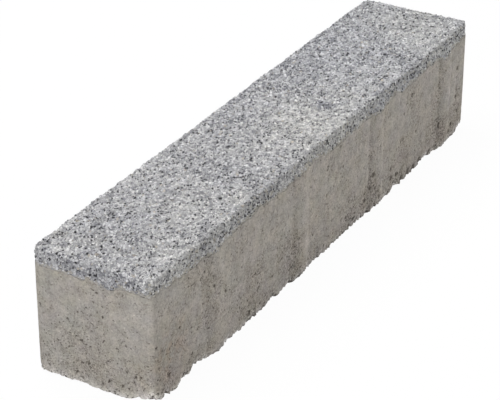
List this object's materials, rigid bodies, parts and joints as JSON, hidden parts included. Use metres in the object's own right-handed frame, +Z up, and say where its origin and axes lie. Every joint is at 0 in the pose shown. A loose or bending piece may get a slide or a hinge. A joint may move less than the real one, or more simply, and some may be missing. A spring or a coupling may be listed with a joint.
{
  "type": "concrete palisade block",
  "caption": "Long square-section concrete edging block with a granite-chipping face on top, rounded upright corners and shallow spacer ribs up both long sides.",
  "frame": {"origin": "middle of the underside, where the block lies on the ground", "axes": "+X along the block's length, +Z up out of the granite face, +Y across the block"},
  "size_m": [0.6, 0.122, 0.12],
  "materials": {
    "granite_face": "matte",
    "concrete_core": "matte"
  },
  "bodies": {
    "root": {"granite_face": "granite_face", "concrete_core": "concrete_core"}
  },
  "joints": []
}
